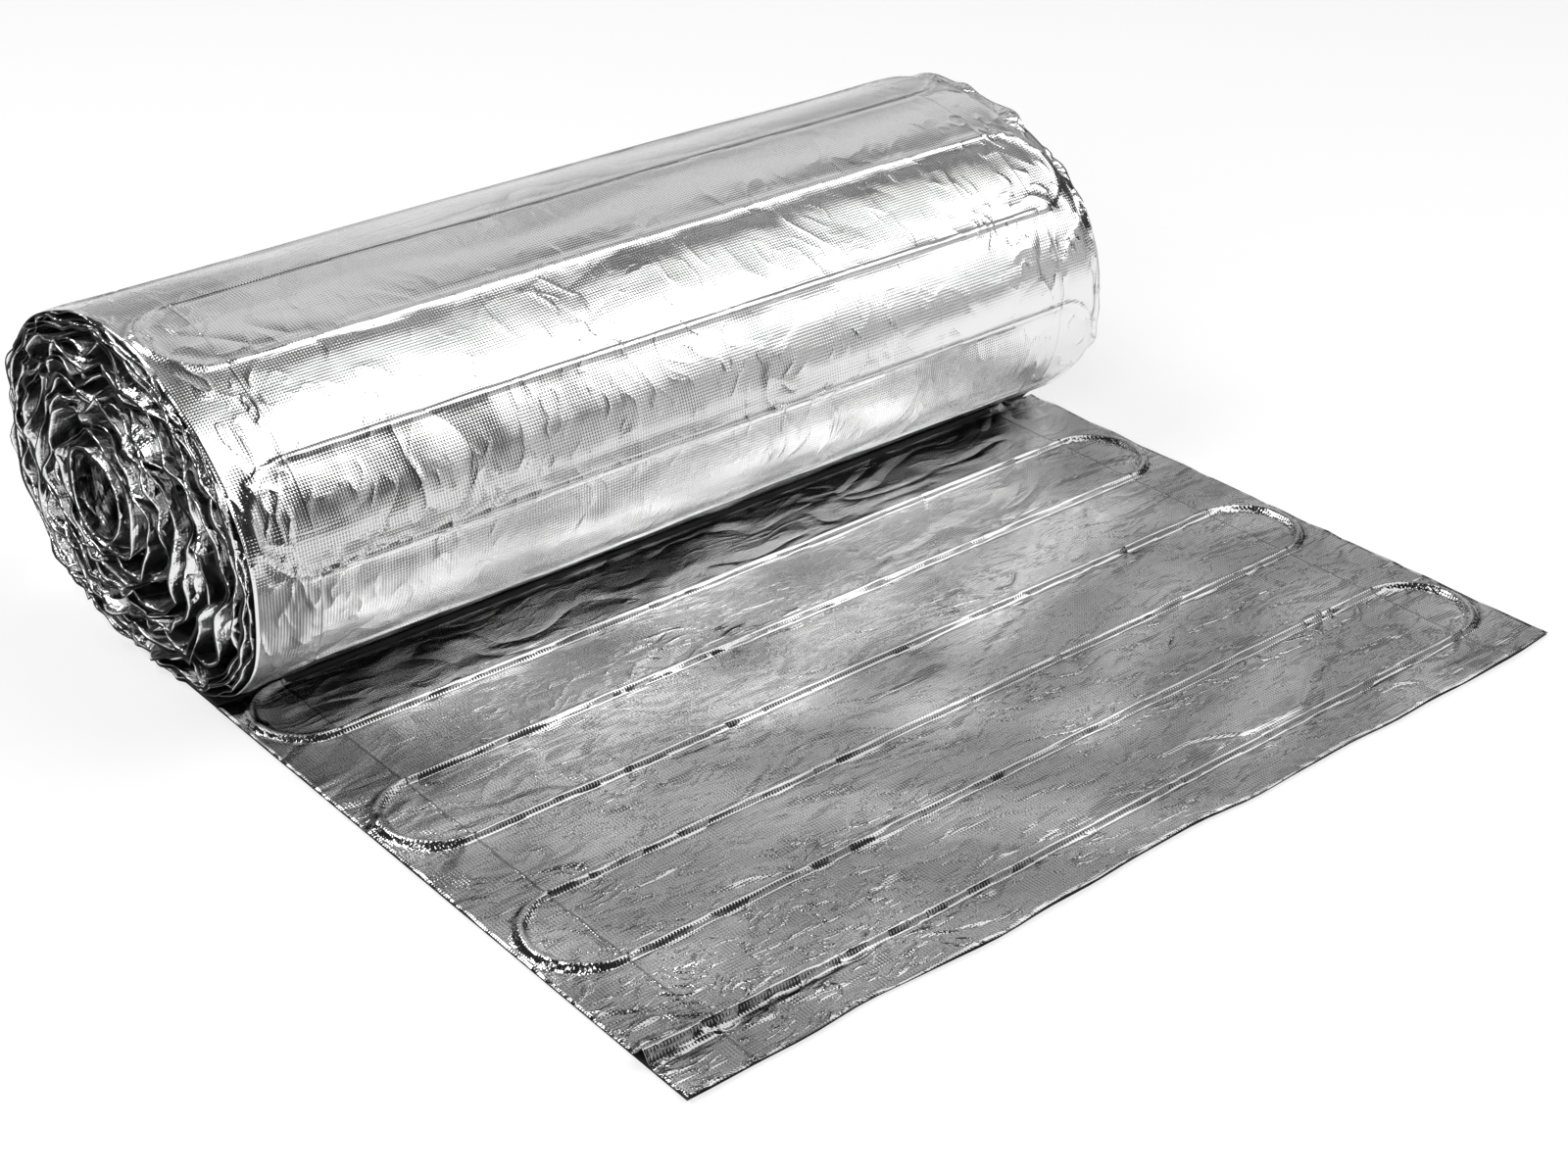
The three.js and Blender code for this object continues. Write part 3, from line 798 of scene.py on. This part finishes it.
def outer_place(x, length):
    """Where the points of the outermost turn lie."""
    along = first_run + top_run * run_pitch + length - top_length
    ridge = ridge_height(x, along, 0.95 * MM, tent_half_width, 0.5)
    front = smooth_step(length, top_length + 20 * MM, top_length + 70 * MM)
    buckles = ripples(x, length, 10, (18 * MM, 60 * MM), (60 * MM, 300 * MM), 0.11 * MM) * (0.2 + 0.8 * front)
    sags = ripples(x, length, 8, (160 * MM, 520 * MM), (50 * MM, 140 * MM), 0.5 * MM)
    bands = ripples(x, length, 5, (260 * MM, 700 * MM), (18 * MM, 40 * MM), 0.13 * MM) * front
    folds = fold_height(x, length, roll_folds) * (0.2 + 0.5 * front)
    loose = (sags + bands + folds + buckles) * smooth_step(length, -5 * MM, 40 * MM)
    y, z, _ = on_spiral(length, ridge + yarn_height(x, along, 0.12 * MM) + loose)
    slump = smooth_step(x, right_edge - 16 * MM, right_edge) ** 2
    y += (roll_axis_y - y) * 0.03 * slump
    z += (bore_height - z) * 0.03 * slump
    return x, y, np.maximum(z, 0.3 * MM)


def roll_creased(x, length):
    """How creased the outermost turn is: most towards its two ends and on the upper front."""
    to_edge = np.minimum(x - left_edge, right_edge - x)
    front = smooth_step(length, top_length + 15 * MM, top_length + 60 * MM)
    patches = np.clip(ripples(x, length, 6, (90 * MM, 260 * MM), (60 * MM, 200 * MM), 0.3), 0, 1)
    at_right = smooth_step(45 * MM - (right_edge - x), 0, 40 * MM)
    return 0.08 + 0.9 * smooth_step(70 * MM - to_edge, 0, 60 * MM) + 0.6 * at_right + front * (0.3 + patches)


def roll_looks(x, length):
    """How creased, how bright and how dark the outermost turn is."""
    along = first_run + top_run * run_pitch + length - top_length
    on_run = 1 - smooth_step(cable_distance(x, along), 0.9 * MM, 1.5 * MM)
    on_yarn = np.maximum(bell(x - yarn_lines[0], 0.9 * MM), bell(x - yarn_lines[1], 0.9 * MM))
    # Painted shade along the yarns, deeper where they cross the cable.
    return roll_creased(x, length), 1, on_yarn * (0.12 + 0.5 * on_run)


def roll_to_cable(x, length):
    """How far points of the outermost turn lie from the cable."""
    return cable_distance(x, first_run + top_run * run_pitch + length - top_length)


run_phase = (top_length - top_run * run_pitch) % run_pitch
outer_lines = along_lines(sheet_back - roll_axis_y, outer_end, run_phase, 0.72 * MM, 4.2 * MM)
outer = sheet_piece("outermost_turn", across_lines(4.6 * MM), outer_lines, outer_place, roll_looks,
                    0.3 * MM, roll_to_cable, inside_out=True)
outer.data.materials.append(wound_finish)
outer.data.materials.append(film_and_shade_finish)
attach(outer, "root")
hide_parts("rolled_mat")

# %% [markdown]
# Inside it the strip winds on towards the bore. Only the edges of these turns show, crumpled and waving, with
# dark gaps between them. The two sheets part at the edge, so each is made as a spiral of its own, with its
# lines close together towards both ends.

# %% Inner turns
inner_start, inner_end = outer_end - 20 * MM, spiral_length[-1]
edge_steps = np.array([0, 1.2, 2.6, 4.2, 6.2, 9, 13, 19, 30, 60]) * MM


def wander(length, seed, shortest, longest, rise):
    """A seeded wave along the strip, the same for both of its sheets."""
    waves = np.random.default_rng(seed)
    height = np.zeros_like(length)
    for _ in range(8):
        height += np.sin(2 * np.pi * length / waves.uniform(shortest, longest) + waves.uniform(0, 2 * np.pi))
    return height * rise / math.sqrt(8)


def inner_place(side):
    """A function that places one sheet of the inner turns: side 1 is the outer sheet and -1 the inner."""
    def place(x, length):
        _, _, angle = on_spiral(length, 0 * length)
        share = share_at(angle)
        to_edge = np.minimum(x - left_edge, right_edge - x)
        free = smooth_step(share, 0.0, 0.3) * (1 - 0.6 * smooth_step(share, 0.86, 0.92))
        crumple = wander(length, 1, 14 * MM, 50 * MM, 1.5 * MM) * np.exp(-to_edge / (12 * MM))
        lip = wander(length, 2, 16 * MM, 110 * MM, 4.2 * MM) * np.exp(-to_edge / (7 * MM))
        gap = np.clip(wander(length, 3, 40 * MM, 160 * MM, 1.2 * MM), 0.1 * MM, None)
        parted = gap * np.exp(-to_edge / (5 * MM))
        slow = wander(length, 4, 110 * MM, 260 * MM, 0.8 * MM)
        loose = (slow + crumple + lip) * (0.12 + 0.88 * free)
        y, z, _ = on_spiral(length, side * (0.4 * MM + parted) + loose)
        poke = wander(length, 5, 16 * MM, 90 * MM, 2.0 * MM) * np.exp(-to_edge / (12 * MM))
        step_out = 2.0 * MM * smooth_step(1 - share, 0, 0.06) * np.exp(-(x - left_edge) / (60 * MM))
        out = bore_mouth * (1 - share) + step_out - poke * (0.3 + 0.7 * free)
        return x - out, y, np.maximum(z, 1 * MM)

    return place


def inner_looks(x, length):
    """The inner turns are all crumpled, at full tone, and without painted shade marks."""
    return 0.8, 1, 0


x_from_edges = np.concatenate([left_edge + edge_steps, [middle_x], (right_edge - edge_steps)[::-1]])
for name, side in (("inner_turns_outer_sheet", 1), ("inner_turns_inner_sheet", -1)):
    turns = sheet_piece(name, x_from_edges, spaced([inner_start, inner_end], [3.6 * MM]), inner_place(side),
                        inner_looks, 0.25 * MM, inside_out=side > 0)
    turns.data.materials.append(edge_finish)
    turns.data.materials.append(film_and_shade_finish)
    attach(turns, "root")
    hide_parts("rolled_mat")

# %% [markdown]
# The cable and the yarns are right as they come from the CAD source, and need only their finish.

# %% Cable and yarns
cable_finish, tree = new_material("extruded polymer cable sheath")
surface = add_node(tree, "ShaderNodeBsdfPrincipled", [("Base Color", linear("#2b2c2e")), ("Roughness", 0.45)])
add_node(tree, "ShaderNodeOutputMaterial", [("Surface", surface.outputs["BSDF"])])
yarn_finish, tree = new_material("twisted glass yarn")
surface = add_node(tree, "ShaderNodeBsdfPrincipled", [("Base Color", linear("#e6e4dc")), ("Roughness", 0.8)])
add_node(tree, "ShaderNodeOutputMaterial", [("Surface", surface.outputs["BSDF"])])
node_finishes = {"heating_cable": cable_finish, "left_yarn": yarn_finish, "right_yarn": yarn_finish}
for node_name, finish in node_finishes.items():
    node_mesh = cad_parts[node_name].data
    node_mesh.materials.clear()
    node_mesh.materials.append(finish)
    print(node_name, "has", len(node_mesh.polygons), "faces, finished as", finish.name)
